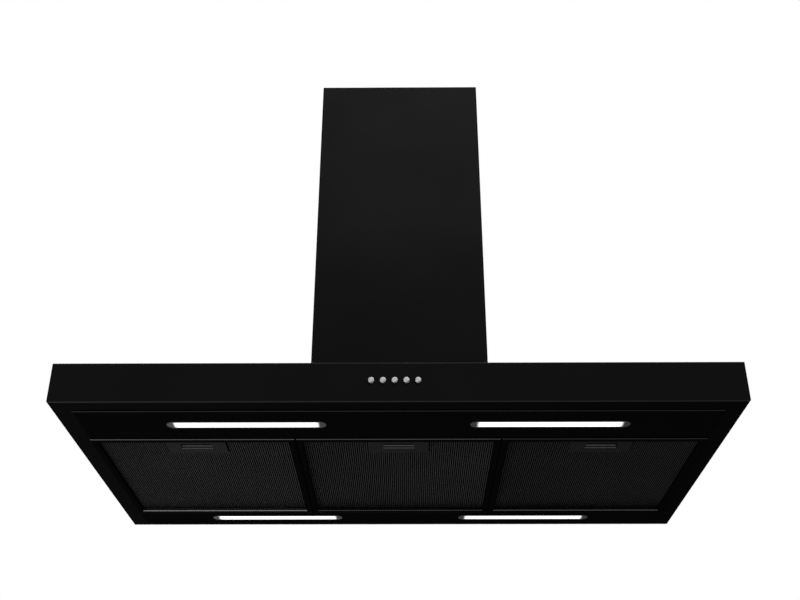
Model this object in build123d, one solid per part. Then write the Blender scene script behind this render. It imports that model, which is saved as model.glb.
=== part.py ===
from build123d import *
from math import cos, radians, sin, sqrt
import os

os.makedirs("parts", exist_ok=True)

# Millimetres. +X is the right-hand side seen from the front, the front faces -Y, +Z is up.
# The origin is on the wall plane, at the middle of the hood's width, level with the canopy's lower rim.

# ---- canopy -----------------------------------------------------------------------------------
canopy_width = 900.0
canopy_depth = 500.0
canopy_height = 56.0
sheet = 1.0  # painted steel sheet of the canopy, the lamp panels and the chimney covers
bend_radius = 1.6  # outside radius of the folded edges
rim_width = 25.0  # return rim under the front and the sides
rear_rim_width = 12.0
rim_lip = 10.0  # height of the rim's upturned inner edge
mitre_gap = 0.5  # open joint across the rim's front corners
mitre_land = 2.5  # welded end of that joint, at the outer corner
back_flange = 14.0

# ---- lamp panels and lamps --------------------------------------------------------------------
front_panel_depth = 90.0
rear_panel_depth = 60.0
panel_drop = 2.0  # how far the lamp panels stand below the rim
panel_gap = 0.5  # slit between a panel's flange and the rim's lip
panel_flange = 12.0
panel_bay_flange = 9.0  # height of the flange along the filter bay, above the rim plane
panel_bend = 1.2  # outside radius of its folded edges
lamp_length = 213.0
lamp_width = 20.0
lamp_end_distance = 222.5  # from a lamp's middle to the side of the opening
lamp_gap = 0.25
lens_flange = 3.0
lens_flange_thickness = 1.5
lamp_case_margin = 4.0  # beyond the lens flange, at the ends
lamp_case_side = 3.0  # the same along the sides
lamp_case_wall = 1.5
lamp_case_height = 12.0
led_board_length = 200.0
led_board_width = 12.0
led_board_thickness = 1.6
led_count = 12
led_size = 4.0
led_height = 0.8

# ---- grease filters ---------------------------------------------------------------------------
filter_count = 3
filter_gap = 1.2  # between neighbouring filters
filter_end_gap = 1.0  # in front of and behind a filter
filter_drop = 2.0  # how far the filter frames stand below the lamp panels
filter_height = 10.0
filter_side_border = 8.5
filter_end_border = 11.0
filter_corner = 2.0
filter_edge = 1.2  # radius of the frame's lower edges
mesh_recess = 5.3  # from the frame's lower face to the mesh
mesh_thickness = 3.6
mesh_groove = 4.0
mesh_clearance = 0.3
mesh_pitch = 3.0  # distance between two ribs
mesh_rib = 1.1
tab_width = 22.0
tab_length = 8.0
tab_thickness = 1.0
tab_spacing = 170.0
tab_clearance = 0.2
tab_side_gap = 1.0
filter_swing = 60.0  # degrees that a filter hangs down before its tabs leave the slots
latch_width = 84.0
latch_depth = 47.0
latch_plate = 1.0
latch_travel = 5.0
latch_gap = 0.3
finger_width = 44.0
finger_depth = 18.0  # at the plate
finger_slope = 9.0  # run of the cup's sloping rear wall
finger_corner = 3.0
finger_inset = 13.5  # from the front border to the finger cup
finger_height = 8.5
finger_wall = 1.0
finger_side_gap = 1.0  # between the finger cup and the mesh beside it
tongue_width = 60.0
tongue_reach = 0.4
spring_solid = 3.0  # length of the latch spring when the latch is fully back
spring_strip = 0.5
spring_side_gap = 2.0
spring_folds = 5
spring_end_gap = 0.15

# ---- push buttons -----------------------------------------------------------------------------
button_count = 5
button_pitch = 15.2
button_bank_x = -4.0
button_bank_z = 30.0
button_radius = 3.9
button_hole_radius = 4.35
button_height = 3.2  # how far a button stands out of the fascia
button_travel = 2.5
button_cap_length = 10.2
button_edge = 1.4  # rounding of the cap's face
stem_radius = 2.0
stem_clearance = 0.05
stem_length = 15.0
stem_end_gap = 1.0
button_spring_solid = 2.5  # length of a button's spring when the button is fully in
button_spring_wire = 0.4
button_spring_turns = 4
button_spring_gap = 0.5  # round the stem
terminal_width = 2.8
terminal_thickness = 0.8
terminal_length = 6.0
terminal_offset = 2.5
switch_margin = 10.0
switch_depth = 22.0
switch_height = 18.0
switch_bracket_thickness = 1.0
switch_bracket_margin = 12.0
switch_bracket_tab = 10.0

# ---- chimney ----------------------------------------------------------------------------------
chimney_width = 275.0
chimney_depth = 260.0
chimney_height = 674.0  # of the lower cover, above the canopy
chimney_tab = 10.0
chimney_tab_length = 60.0
cover_gap = 1.2  # between the upper cover and the lower cover
upper_cover_shortfall = 3.0  # how far the retracted upper cover's top lies below the lower cover's
bracket_height = 28.0
bracket_wing = 26.0
bracket_screw_inset = 15.6  # from the wall
bracket_thickness = 1.5
bracket_drop = 6.0
bracket_fit = 0.2
bracket_hole_spacing = 200.0
bracket_hole_radius = 3.0
bracket_screw_radius = 1.9
bracket_screw_head_radius = 3.6
bracket_screw_head = 0.8
bracket_screw_length = 7.0

# ---- blower box, scroll and collar ------------------------------------------------------------
box_side_gap = 12.3  # between the blower box and the upper cover
box_front_gap = 16.8
box_height = 215.0
box_sheet = 1.2
box_flange = 12.0
box_screw_inset = 48.0  # from the box's front and from the wall
hanging_hole_spacing = 180.0
hanging_hole_radius = 4.5
hanging_hole_drop = 26.0  # below the box's top
safety_hole_spacing = 600.0
safety_hole_radius = 3.5
duct_radius = 74.5  # outside of the outlet collar, for a 150 mm duct
collar_wall = 2.0
collar_step = 1.0  # depth of the rebate round the collar's foot, which the flange fits
collar_fit = 0.05  # between that foot and the flange, and round the flaps' seat
collar_height = 54.0
collar_flange = 17.0
collar_screw_inset = 6.5  # from the flange's rim
collar_screw_angle = 60.0  # from the hood's width
collar_flange_thickness = 2.0
collar_wall_clearance = 30.5  # from the collar to the wall behind it
flap_height = 12.0  # of the flaps' axes above the collar's foot
flap_thickness = 1.5
flap_clearance = 0.8
flap_axis_offset = 5.0
flap_rod_radius = 2.0
flap_pin_radius = 1.4
flap_pin_clearance = 0.05
flap_pin_depth = 1.1
flap_ledge = 4.0
flap_ledge_thickness = 2.0
flap_seat_gap = 0.3
bridge_width = 3.0  # between the two flaps
scroll_width = 116.0
scroll_wall = 2.0
scroll_floor = 12.0  # from the canopy's top to the scroll
scroll_front_gap = 8.3  # between the scroll and the box's front
scroll_growth = 9.0  # added by each following quarter
scroll_throat = 71.0
scroll_flange = 80.0  # half its depth
scroll_flange_thickness = 2.0
impeller_gap = 6.0  # between the wheel and the scroll's tightest quarter
impeller_side_gap = 6.0
impeller_blades = 36
blade_depth = 10.0
blade_thickness = 1.0
blade_angle = 25.0
impeller_ring = 2.0
hub_radius = 11.0
hub_width = 24.0
shaft_radius = 4.0
shaft_clearance = 0.05
shaft_end_gap = 2.0
hub_bore_gap = 0.01
shaft_overhang = 38.0
motor_radius = 42.0
motor_end_gap = 4.3  # between the motor and the box's side
motor_edge = 5.0
motor_end_wall = 14.0  # beyond the end of the shaft's bore
motor_arm_margin = 9.0  # from the scroll's inlet to the bracket's screws
motor_arm_width = 12.0
motor_arm_thickness = 1.5
motor_hub_radius = 26.0
motor_hub_bore = 8.0
grommet_radius = 5.0
grommet_thickness = 3.0
grommet_count = 3

# ---- electrics --------------------------------------------------------------------------------
control_width = 90.0
control_height = 60.0
control_depth = 42.0
control_wall = 2.0
control_side_gap = 10.8  # from the blower box's side
control_floor = 40.0  # above the canopy's top
board_margin = 4.0  # from the control box's inner walls to its board
board_thickness = 1.6
board_post_height = 5.0
board_post_radius = 2.5
relay_count = 3
relay_pitch = 20.0
relay_size = (16.0, 15.0, 12.0)  # width, depth from the board, height
relay_rise = 26.0  # from the board's lower edge
terminal_block_size = (50.0, 14.0, 12.0)
terminal_block_rise = 3.0
terminal_poles = 5
terminal_screw_radius = 2.6
terminal_screw_depth = 8.0
capacitor_radius = 15.0
capacitor_length = 50.0
capacitor_side_gap = 20.8  # from the blower box's side
capacitor_floor = 45.0
capacitor_foot_width = 18.0
capacitor_foot_height = 25.0
driver_size = (110.0, 40.0, 22.0)
driver_shift = 12.5  # outwards from the lamp below it
driver_inset = 30.0  # from the fascia
gland_radius = 10.0
gland_shank = 8.0
gland_bore = 4.0
gland_height = 14.0
gland_side_distance = 20.8  # from the blower box's side to the gland's middle
gland_wall_distance = 22.0
gland_edge = 2.0
gland_tail = 6.0
gland_clearance = 0.1

# ---- fasteners --------------------------------------------------------------------------------
screw_radius = 1.9
screw_clearance = 0.1
screw_head_radius = 3.6
screw_head = 2.2
screw_length = 9.0
recess_length = 3.6  # of a screw head's cross recess
recess_width = 0.8
recess_depth = 1.2

panel_screw_height = 6.0  # above the rim plane
panel_screw_spacing = 330.0

# ---- wiring -----------------------------------------------------------------------------------
lead_radius = 1.6
lead_bend = 9.0
lead_roof_gap = 3.4  # from the canopy's top to the highest leads
lead_layer = 6.0  # between two layers of leads
lead_pair_gap = 7.0
lead_case_reach = 37.5  # from a lamp's centre to where its lead goes in
lead_ramp = 20.0  # run over which the switch lead climbs to the layer above
lead_side_run = 30.0  # of the motor lead, beside the control box
lead_inset = 3.8  # from the control box's side to its nearest lead
lead_wall_distance = 30.6  # of the leads that rise to the control box
past = 1.0  # how far a cut runs past the faces that it opens

# ---- places worked out from the sizes ---------------------------------------------------------
front = -canopy_depth
roof = canopy_height
bay_width = canopy_width - 2 * rim_width
opening_front = front + rim_width
opening_rear = -rear_rim_width
bay_front = opening_front + front_panel_depth
bay_rear = opening_rear - rear_panel_depth
panel_floor = -panel_drop
panel_top = panel_floor + sheet  # upper face of a lamp panel's plate
lamp_offset = bay_width / 2 - lamp_end_distance  # from the middle of the hood
front_lamp_y = (opening_front + bay_front) / 2
rear_lamp_y = (bay_rear + opening_rear) / 2
filter_floor = panel_floor - filter_drop
filter_pitch = bay_width / filter_count
filter_width = filter_pitch - filter_gap
filter_front = bay_front + filter_end_gap
filter_rear = bay_rear - filter_end_gap
mesh_floor = filter_floor + mesh_recess
latch_floor = mesh_floor - latch_gap - latch_plate
latch_front = filter_front + filter_end_border
cup_front = latch_front + finger_inset
cup_rear = cup_front + finger_depth + 2 * finger_wall
spring_room = latch_travel + spring_solid
button_spring_room = button_travel + button_spring_solid
tab_floor = panel_top + tab_clearance
collar_y = -collar_wall_clearance - duct_radius
box_top = roof + box_height
collar_foot = box_top + collar_flange_thickness
upper_half = chimney_width / 2 - sheet - cover_gap  # of the upper cover's width
box_width = 2 * (upper_half - sheet - box_side_gap)
box_depth = chimney_depth - 2 * sheet - cover_gap - box_front_gap
box_inner = box_width / 2 - box_sheet
scroll_bottom = roof + scroll_floor
scroll_front = -box_depth + box_sheet + scroll_front_gap
# the tightest quarter and the throat share the depth from the scroll's front to the collar
scroll_reach = collar_y + scroll_throat / 2 - scroll_wall - scroll_front
scroll_radius = (scroll_reach - 3 * scroll_growth) / 2
scroll_outer = scroll_radius + 2 * scroll_growth  # radius of the widest quarter
impeller_radius = scroll_radius - impeller_gap
impeller_width = scroll_width - 2 * scroll_wall - 2 * impeller_side_gap
inlet_radius = impeller_radius - blade_depth
motor_arm_radius = inlet_radius + motor_arm_margin
axle_z = scroll_bottom + scroll_wall + scroll_radius + scroll_growth
axle_y = collar_y - (scroll_growth + scroll_outer - scroll_throat / 2)
motor_face = -scroll_width / 2 - grommet_thickness - motor_arm_thickness
motor_length = box_inner - motor_end_gap + motor_face
motor_shaft_depth = motor_length - motor_end_wall
control_x = box_inner - control_side_gap - control_width / 2
capacitor_x = -box_inner + capacitor_side_gap + capacitor_radius
gland_x = box_inner - gland_side_distance
driver_x = lamp_offset + driver_shift

mid = Align.CENTER
low = Align.MIN


def block(x, y, z):
    """A box given by its (lowest, highest) x, y and z."""
    size = Box(x[1] - x[0], y[1] - y[0], z[1] - z[0], align=(low, low, low))
    return Pos(x[0], y[0], z[0]) * size


def rod(radius, length, at, axis):
    """A cylinder that starts at a point and runs along an axis."""
    return Plane(origin=at, z_dir=axis) * Cylinder(radius, length, align=(mid, mid, low))


def slot_plate(length, width, thickness, at):
    """A stadium-shaped plate with its length along X, standing on the point at."""
    return Pos(*at) * extrude(SlotOverall(length, width), thickness)


def screw(at, axis, length=screw_length):
    """A pan-head screw: at is under its head, and its shank runs along the axis."""
    back = tuple(-c for c in axis)
    head = rod(screw_head_radius, screw_head, at, back)
    return head + rod(screw_radius, length, at, axis) - cross_recess(at, back, screw_head)


def cross_recess(at, out, head):
    """The cross that a driver turns, sunk into the top of a head that stands out from the point at."""
    top = tuple(a + head * c for a, c in zip(at, out))
    bar = Box(recess_length, recess_width, 2 * recess_depth)
    return Plane(origin=top, z_dir=out) * (bar + Rot(0, 0, 90) * bar)


def screw_hole(at, axis, length=screw_length):
    start = tuple(a - past * c for a, c in zip(at, axis))
    return rod(screw_radius + screw_clearance, length + 2 * past, start, axis)


def save(shape, name):
    shape.label = name
    export_step(shape, f"parts/{name}.step")


def group(solids):
    """Separate solids that share one node."""
    return Compound(children=[s for shape in solids for s in shape.solids()])


# ---- where the fasteners go -------------------------------------------------------------------
def chimney_tab_places():
    """(x, y) of each screw that holds the lower chimney cover on the canopy."""
    inner = chimney_width / 2 - sheet - chimney_tab / 2
    side_y = -chimney_depth / 2
    return [(inner, side_y), (-inner, side_y), (0, -chimney_depth + sheet + chimney_tab / 2)]


def box_foot_places():
    """(x, y) of each screw that holds the blower box on the canopy."""
    x = box_inner - box_flange / 2
    return [(sx * x, y) for sx in (-1, 1) for y in (-box_depth + box_screw_inset, -box_screw_inset)]


def collar_screw_places():
    """(x, y) of each screw through the collar's flange, the box and the scroll."""
    r = duct_radius + collar_flange - collar_screw_inset
    x = r * cos(radians(collar_screw_angle))
    y = r * sin(radians(collar_screw_angle))
    return [(sx * x, collar_y + sy * y) for sx in (-1, 1) for sy in (-1, 1)]


def panel_screw_places():
    """Start and direction of each lamp panel screw: along the front and rear lips and at the ends."""
    side = bay_width / 2 + sheet
    z = panel_screw_height
    places = []
    for i in (-1, 0, 1):
        places.append(((i * panel_screw_spacing, opening_front - sheet, z), (0, 1, 0)))
        places.append(((i * panel_screw_spacing, opening_rear + sheet, z), (0, -1, 0)))
    for y in (front_lamp_y, rear_lamp_y):
        places += [((-side, y, z), (1, 0, 0)), ((side, y, z), (-1, 0, 0))]
    return places


def motor_arm_places():
    """(y, z) of each rubber-mounted end of the motor bracket."""
    steps = [90 + i * 360 / grommet_count for i in range(grommet_count)]
    return [(axle_y + motor_arm_radius * cos(radians(a)), axle_z + motor_arm_radius * sin(radians(a)))
            for a in steps]


# ---- canopy -----------------------------------------------------------------------------------
def canopy_shell():
    """The top, front and sides, folded from one sheet, down to the lower bend that the rim is welded to."""
    half = canopy_width / 2
    shell = block((-half, half), (front, 0), (0, roof))
    folds = shell.edges().filter_by(Axis.X).group_by(Axis.Y)[0]
    folds += shell.edges().filter_by(Axis.Y)
    shell = fillet(folds, bend_radius)
    inner = half - sheet
    shell -= block((-inner, inner), (front + sheet, past), (sheet, roof - sheet))
    # the top stops at the back panel, and the lower bend at the rim
    shell -= block((-inner, inner), (-sheet, past), (-past, roof + past))
    rim = half - bend_radius
    shell -= block((-rim, rim), (front + bend_radius, past), (-past, sheet + past))
    shell -= roof_opening()
    for x, y in chimney_tab_places() + box_foot_places():
        shell -= screw_hole((x, y, roof - sheet), (0, 0, 1))
    for i in range(button_count):
        start = (button_x(i), front - sheet, button_bank_z)
        shell -= rod(button_hole_radius, 3 * sheet, start, (0, 1, 0))
    return shell


def canopy_rim():
    """The return round the opening: a flat frame with an upturned lip along its inner edge."""
    edge = canopy_width / 2 - bend_radius
    rim = block((-edge, edge), (front + bend_radius, -sheet), (0, sheet))
    bay = bay_width / 2
    outer = bay + sheet
    rim += block((-outer, outer), (opening_front - sheet, opening_rear + sheet), (0, rim_lip))
    rim -= block((-bay, bay), (opening_front, opening_rear), (-past, rim_lip + past))
    for side in (-1, 1):
        rim -= mitre_slit(side)
    for at, axis in panel_screw_places():
        rim -= screw_hole(at, axis)
    return rim


def mitre_slit(side):
    """The open joint at 45 degrees across a front corner of the rim, through to the opening."""
    end = rim_width + past
    slit = Box((end - mitre_land) * sqrt(2), mitre_gap, 3 * sheet)
    middle = (end + mitre_land) / 2
    x = side * (canopy_width / 2 - middle)
    return Pos(x, front + middle, 0) * Rot(0, 0, -side * 45) * slit


def roof_opening():
    """The hole in the canopy's top that the blower draws through."""
    x, y = box_foot_opening()
    return block((-x, x), (y, -box_sheet - box_flange), (roof - 2 * sheet, roof + sheet))


def back_panel():
    half = canopy_width / 2 - sheet
    panel = block((-half, half), (-sheet, 0), (0, roof))
    # forward flange under the canopy's top, cut away at the blower opening
    flange = block((-half, half), (-back_flange, -sheet), (roof - 2 * sheet, roof - sheet))
    gap = box_width / 2
    flange -= block((-gap, gap), (-back_flange - past, -sheet), (0, roof))
    panel += flange
    for side in (-1, 1):
        start = (side * safety_hole_spacing / 2, -2 * sheet, roof / 2)
        panel -= rod(safety_hole_radius, 3 * sheet, start, (0, 1, 0))
    return panel


# ---- lamp panels ------------------------------------------------------------------------------
def lamp_panel(y, bay_side):
    """A folded pan between two depths, with a flange along the filter bay at the bay_side depth."""
    half = bay_width / 2 - panel_gap
    outer_y = y[0] + panel_gap if bay_side == y[1] else y[1] - panel_gap
    span = (min(outer_y, bay_side), max(outer_y, bay_side))
    pan = block((-half, half), span, (panel_floor, panel_flange))
    pan = fillet(pan.faces().sort_by(Axis.Z)[0].edges(), panel_bend)
    inner = half - sheet
    pan -= block((-inner, inner), (span[0] + sheet, span[1] - sheet), (panel_top, panel_flange + past))
    # the flange along the bay is lower
    bay_flange = (bay_side - 2 * sheet, bay_side + 2 * sheet)
    pan -= block((-half - past, half + past), bay_flange, (panel_bay_flange, panel_flange + past))
    lamp_y = (y[0] + y[1]) / 2
    for side in (-1, 1):
        at = (side * lamp_offset, lamp_y, panel_floor - past)
        gap = 2 * lamp_gap
        pan -= slot_plate(lamp_length + gap, lamp_width + gap, sheet + 2 * past, at)
    for at, axis in panel_screw_places():
        pan -= screw_hole(at, axis)
    return pan


def rear_lamp_panel():
    panel = lamp_panel((bay_rear, opening_rear), bay_rear)
    # slots for the filters' tabs, high enough for a tab to tilt with its filter
    tilt = radians(filter_swing)
    slot_height = (sheet * sin(tilt) + tab_thickness + 2 * tab_clearance) / cos(tilt) + tab_side_gap
    slot_z = (panel_top, panel_top + slot_height)
    half = tab_width / 2 + tab_side_gap
    for x in tab_places():
        panel -= block((x - half, x + half), (bay_rear - past, bay_rear + sheet), slot_z)
    return panel


def lamp_places():
    """(x, y) of each lamp."""
    return [(side * lamp_offset, y) for y in (front_lamp_y, rear_lamp_y) for side in (-1, 1)]


def lamp_lens(x, y):
    lens = slot_plate(lamp_length, lamp_width, sheet, (x, y, panel_floor))
    wide = 2 * lens_flange
    lens += slot_plate(lamp_length + wide, lamp_width + wide, lens_flange_thickness, (x, y, panel_top))
    return lens


def lamp_case(x, y):
    """The open-bottomed box that holds the LED board over the lens."""
    length = lamp_length + 2 * (lens_flange + lamp_case_margin)
    width = lamp_width + 2 * (lens_flange + lamp_case_side)
    wall = 2 * lamp_case_wall
    case = Box(length, width, lamp_case_height, align=(mid, mid, low))
    case = fillet(case.edges().filter_by(Axis.Z), lamp_case_wall)
    case -= Box(length - wall, width - wall, 2 * (lamp_case_height - lamp_case_wall))
    return Pos(x, y, panel_top) * case


def led_board(x, y):
    ceiling = panel_top + lamp_case_height - lamp_case_wall
    board = Box(led_board_length, led_board_width, led_board_thickness, align=(mid, mid, Align.MAX))
    pitch = led_board_length / led_count
    for i in range(led_count):
        chip = Box(led_size, led_size, led_height, align=(mid, mid, Align.MAX))
        board += Pos((i - (led_count - 1) / 2) * pitch, 0, -led_board_thickness) * chip
    return Pos(x, y, ceiling) * board


# ---- grease filters ---------------------------------------------------------------------------
def filter_places():
    """Name and centre x of each filter."""
    names = ("left", "centre", "right")
    return [(names[i], (i - (filter_count - 1) / 2) * filter_pitch) for i in range(filter_count)]


def tab_places():
    return [x + side * tab_spacing / 2 for _, x in filter_places() for side in (-1, 1)]


def filter_frame(x):
    half = filter_width / 2
    depth = (filter_front, filter_rear)
    top = filter_floor + filter_height
    frame = block((x - half, x + half), depth, (filter_floor, top))
    frame = fillet(frame.edges().filter_by(Axis.Z), filter_corner)
    inner = half - filter_side_border
    inner_y = (filter_front + filter_end_border, filter_rear - filter_end_border)
    frame -= block((x - inner, x + inner), inner_y, (filter_floor - past, top + past))
    frame = fillet(frame.faces().sort_by(Axis.Z)[0].edges(), filter_edge)
    # groove that the mesh pack sits in
    groove = inner + mesh_groove
    groove_y = (inner_y[0] - mesh_groove, inner_y[1] + mesh_groove)
    groove_z = (mesh_floor - mesh_clearance, mesh_floor + mesh_thickness + mesh_clearance)
    frame -= block((x - groove, x + groove), groove_y, groove_z)
    # slot in the front border for the latch's tongue
    slot = tongue_width / 2 + latch_gap
    slot_z = (latch_floor - latch_gap, latch_floor + latch_plate + latch_gap)
    frame -= block((x - slot, x + slot), (filter_front - past, latch_front + past), slot_z)
    tab = tab_width / 2
    for tab_x in (x - tab_spacing / 2, x + tab_spacing / 2):
        tab_y = (filter_rear - past, bay_rear + tab_length)
        frame += block((tab_x - tab, tab_x + tab), tab_y, (tab_floor, tab_floor + tab_thickness))
    return frame


def filter_mesh(x):
    """The mesh pack: ribs that run front to back under a flat back, extruded from one zigzag outline."""
    half = filter_width / 2 - filter_side_border + mesh_groove - mesh_clearance
    count = int(2 * half / mesh_pitch)
    outline = [(-half, mesh_thickness), (-half, mesh_rib)]
    start = -count * mesh_pitch / 2
    for i in range(count):
        outline.append((start + i * mesh_pitch, mesh_rib))
        outline.append((start + (i + 0.5) * mesh_pitch, 0))
    outline += [(start + count * mesh_pitch, mesh_rib), (half, mesh_rib), (half, mesh_thickness)]
    depth = (filter_front + filter_end_border - mesh_groove + mesh_clearance,
             filter_rear - filter_end_border + mesh_groove - mesh_clearance)
    profile = Plane(origin=(x, depth[0], mesh_floor), x_dir=(1, 0, 0), z_dir=(0, -1, 0))
    mesh = extrude(profile * make_face(Polyline(*outline, close=True)), depth[0] - depth[1])
    # opening above the latch plate for the finger cup and its spring
    cup = finger_width / 2 + finger_wall + finger_side_gap
    opening = (depth[0] - past, cup_rear + spring_room)
    mesh -= block((x - cup, x + cup), opening, (mesh_floor - past, mesh_floor + mesh_thickness + past))
    return mesh


def filter_latch(x):
    """A sliding plate with a finger cup pressed up into it and a tongue through the front border."""
    half = latch_width / 2
    z = (latch_floor, latch_floor + latch_plate)
    latch = block((x - half, x + half), (latch_front + latch_gap, latch_front + latch_depth), z)
    tongue = tongue_width / 2
    latch += block((x - tongue, x + tongue), (filter_front - tongue_reach, latch_front + past), z)
    cup = finger_width / 2 + finger_wall
    cup_top = latch_floor + finger_height + finger_wall
    latch += block((x - cup, x + cup), (cup_front, cup_rear), (latch_floor, cup_top))
    return latch - finger_scoop(x, cup_top - finger_wall)


def finger_scoop(x, ceiling):
    """The cup's inside: upright at the front, and sloping up from the plate at the rear."""
    near = cup_front + finger_wall
    far = cup_rear - finger_wall
    below = latch_floor - past
    outline = Polyline((near, below), (near, ceiling), (far - finger_slope, ceiling), (far, latch_floor),
                       (far, below), close=True)
    side = Plane(origin=(x - finger_width / 2, 0, 0), x_dir=(0, 1, 0), z_dir=(1, 0, 0))
    scoop = extrude(side * make_face(outline), finger_width)
    return fillet(scoop.edges().filter_by(Axis.Z).group_by(Axis.Y)[0], finger_corner)


def latch_spring(x):
    """A zigzag strip between the finger cup and the edge of the mesh."""
    half = finger_width / 2 - spring_side_gap
    near = cup_rear + spring_strip / 2 + spring_end_gap
    far = cup_rear + spring_room - spring_strip / 2 - spring_end_gap
    step = 2 * half / spring_folds
    path = [(x - half + i * step, near if i % 2 == 0 else far) for i in range(spring_folds + 1)]
    line = Polyline(*path)
    strip = trace(line, spring_strip)
    return Pos(0, 0, mesh_floor + mesh_rib) * extrude(strip, mesh_thickness - mesh_rib)


# ---- push buttons -----------------------------------------------------------------------------
def button_x(i):
    return button_bank_x + (i - (button_count - 1) / 2) * button_pitch


def button(i):
    face = (button_x(i), front - button_height, button_bank_z)
    cap = rod(button_radius, button_cap_length, face, (0, 1, 0))
    cap = fillet(cap.edges().group_by(Axis.Y)[0], button_edge)
    stem_start = (button_x(i), face[1] + button_cap_length, button_bank_z)
    return cap + rod(stem_radius, stem_length, stem_start, (0, 1, 0))


def switch_front():
    return front - button_height + button_cap_length + button_spring_room


def button_spring(i):
    """A coil spring round the stem, from the cap to the switch body."""
    wire = button_spring_wire / 2
    coil = stem_radius + button_spring_gap + wire
    length = button_spring_room - 2 * wire
    start = switch_front() - button_spring_room + wire
    path = Helix(length / button_spring_turns, length, coil)
    section = Plane(origin=path @ 0, z_dir=path % 0) * Circle(wire)
    spring = sweep(section, path=path, is_frenet=True)
    return Plane(origin=(button_x(i), start, button_bank_z), z_dir=(0, 1, 0)) * spring


def switch_body():
    half = (button_count - 1) * button_pitch / 2 + switch_margin
    y = switch_front()
    z = (button_bank_z - switch_height / 2, button_bank_z + switch_height / 2)
    body = block((button_bank_x - half, button_bank_x + half), (y, y + switch_depth), z)
    depth = stem_length - button_spring_room + button_travel + stem_end_gap
    for i in range(button_count):
        start = (button_x(i), y - past, button_bank_z)
        body -= rod(stem_radius + stem_clearance, depth + past, start, (0, 1, 0))
    # two terminals behind each switch
    rear = y + switch_depth
    terminal = Box(terminal_width, terminal_length, terminal_thickness, align=(mid, low, mid))
    for i in range(button_count):
        for side in (-1, 1):
            body += Pos(button_x(i) + side * terminal_offset, rear, button_bank_z) * terminal
    return body


def switch_bracket():
    """A shelf under the switch body, with an upright tab at each end against the fascia."""
    half = (button_count - 1) * button_pitch / 2 + switch_margin + switch_bracket_margin
    t = switch_bracket_thickness
    shelf = button_bank_z - switch_height / 2
    y = front + sheet
    x = (button_bank_x - half, button_bank_x + half)
    bracket = block(x, (y, switch_front() + switch_depth), (shelf - t, shelf))
    tab_z = (shelf - t, button_bank_z + switch_height / 2)
    bracket += block((x[0], x[0] + switch_bracket_tab), (y, y + t), tab_z)
    return bracket + block((x[1] - switch_bracket_tab, x[1]), (y, y + t), tab_z)


# ---- chimney ----------------------------------------------------------------------------------
def u_cover(half, depth, z):
    """A cover folded from one sheet: a front and two sides, open to the wall."""
    cover = block((-half, half), (-depth, 0), z)
    cover = fillet(cover.edges().filter_by(Axis.Z).group_by(Axis.Y)[0], bend_radius)
    inner = half - sheet
    return cover - block((-inner, inner), (-depth + sheet, past), (z[0] - past, z[1] + past))


def chimney_lower():
    half = chimney_width / 2
    cover = u_cover(half, chimney_depth, (roof, roof + chimney_height))
    inner = half - sheet
    reach = chimney_tab_length / 2
    z = (roof, roof + sheet)
    cover += block((-reach, reach), (-chimney_depth + sheet, -chimney_depth + sheet + chimney_tab), z)
    y = (-chimney_depth / 2 - reach, -chimney_depth / 2 + reach)
    cover += block((inner - chimney_tab, inner), y, z)
    cover += block((-inner, -inner + chimney_tab), y, z)
    for x, y in chimney_tab_places():
        cover -= screw_hole((x, y, roof - sheet), (0, 0, 1))
    return cover


def upper_top():
    return roof + chimney_height - upper_cover_shortfall


def bracket_screw_places():
    """(x direction, y, z) of each screw that ties the upper cover to its wall bracket."""
    z = upper_top() - bracket_drop - bracket_height / 2
    return [(side, -bracket_screw_inset, z) for side in (-1, 1)]


def chimney_upper():
    cover = u_cover(upper_half, chimney_depth - sheet - cover_gap, (roof + sheet, upper_top()))
    for side, y, z in bracket_screw_places():
        start = (side * (upper_half + past), y, z)
        cover -= rod(bracket_screw_radius + screw_clearance, sheet + 2 * past, start, (-side, 0, 0))
    return cover


def chimney_bracket():
    """A strip against the wall with a forward wing at each end."""
    half = upper_half - sheet - bracket_fit
    top = upper_top() - bracket_drop
    z = (top - bracket_height, top)
    bracket = block((-half, half), (-bracket_wing, 0), z)
    t = bracket_thickness
    bracket -= block((-half + t, half - t), (-bracket_wing - past, -t), (z[0] - past, z[1] + past))
    for side in (-1, 1):
        centre = (side * bracket_hole_spacing / 2, -2 * t, top - bracket_height / 2)
        bracket -= rod(bracket_hole_radius, 3 * t, centre, (0, 1, 0))
    for side, y, z in bracket_screw_places():
        start = (side * (half + past), y, z)
        bracket -= rod(bracket_screw_radius + screw_clearance, t + 2 * past, start, (-side, 0, 0))
    return bracket


def bracket_screws():
    screws = []
    for side, y, z in bracket_screw_places():
        at = (side * upper_half, y, z)
        head = rod(bracket_screw_head_radius, bracket_screw_head, at, (side, 0, 0))
        shank = rod(bracket_screw_radius, bracket_screw_length, at, (-side, 0, 0))
        screws.append(head + shank - cross_recess(at, (side, 0, 0), bracket_screw_head))
    return group(screws)


# ---- blower box and collar --------------------------------------------------------------------
def box_foot_opening():
    """Half width and front depth of the opening inside the box's foot flange."""
    return box_inner - box_flange, -box_depth + box_sheet + box_flange


def blower_box():
    """The box's front and sides, folded from one sheet with an inward flange at the foot."""
    half = box_width / 2
    t = box_sheet
    box = block((-half, half), (-box_depth, -t), (roof, box_top - t))
    box -= block((-box_inner, box_inner), (-box_depth + t, past), (roof + t, box_top))
    x, y = box_foot_opening()
    box -= block((-x, x), (y, past), (roof - past, roof + t + past))
    for x, y in box_foot_places():
        box -= screw_hole((x, y, roof - sheet), (0, 0, 1))
    return box


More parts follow.
